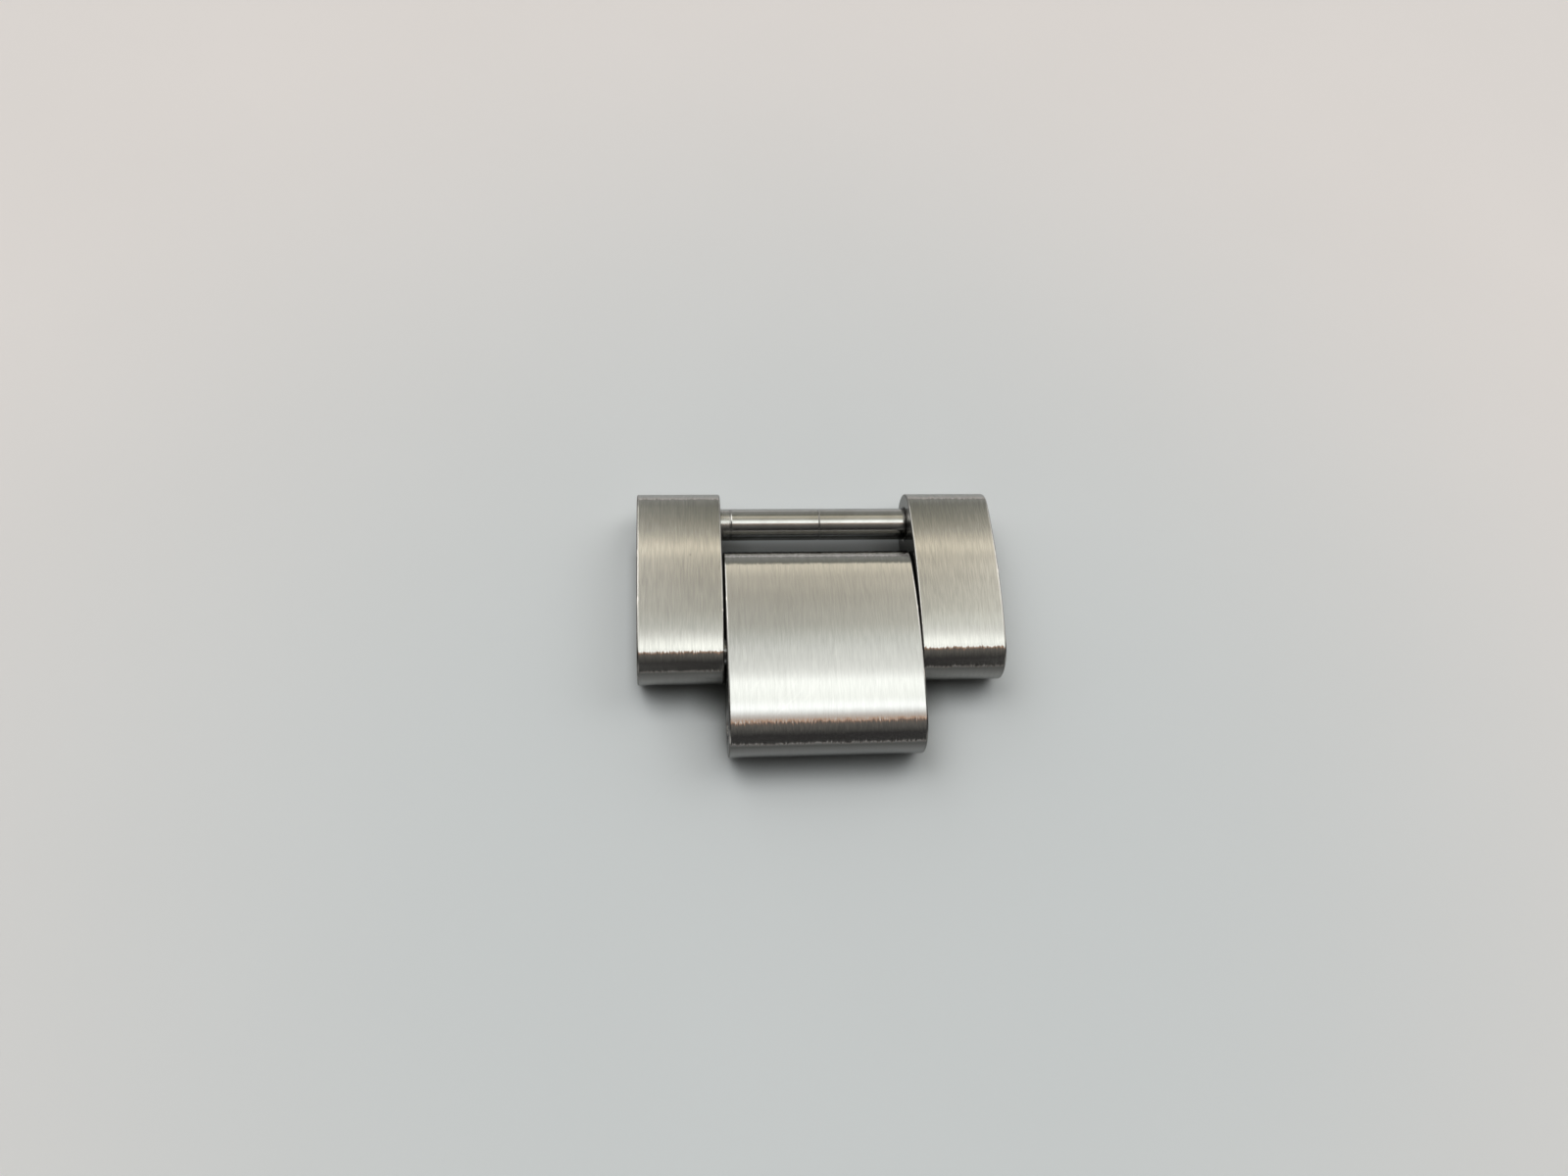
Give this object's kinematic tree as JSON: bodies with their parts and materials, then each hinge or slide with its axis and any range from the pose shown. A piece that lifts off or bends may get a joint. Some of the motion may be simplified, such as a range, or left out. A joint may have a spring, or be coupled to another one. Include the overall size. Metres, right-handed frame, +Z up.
{
  "type": "watch bracelet link",
  "caption": "Removable steel watch bracelet link: outer links joined by pins, a crowned centre link turning on a hinge pin, and a screw pin across the far end.",
  "frame": {"origin": "below the middle of the whole link, on the face that lies on the wrist", "axes": "+X across the bracelet towards the tapped half of the far pin, +Y along the bracelet from the open bore to the far pin, +Z up from the wrist side to the crowned top"},
  "size_m": [0.017, 0.013, 0.0033],
  "materials": {
    "brushed_link": "brushed along the bracelet",
    "polished_pin": "turned and polished"
  },
  "bodies": {
    "side_links": {"left_outer_link": "brushed_link", "right_outer_link": "brushed_link", "hinge_pin": "polished_pin"},
    "centre": {"centre_link": "brushed_link"},
    "screw_half": {"pin_screw": "polished_pin"},
    "tapped_half": {"pin_tube": "polished_pin"}
  },
  "joints": [
    {"name": "centre_link_pivot", "type": "hinge", "parent": "side_links", "child": "centre", "pos_m": [0, -0.00153, 0.00148], "axis": [1, 0, 0], "continuous": true},
    {"name": "pin_screw_withdraw", "type": "slide", "parent": "side_links", "child": "screw_half", "axis": [-1, 0, 0], "range_m": [0, 0.0124]},
    {"name": "pin_tube_withdraw", "type": "slide", "parent": "side_links", "child": "tapped_half", "axis": [1, 0, 0], "range_m": [0, 0.0086]}
  ]
}
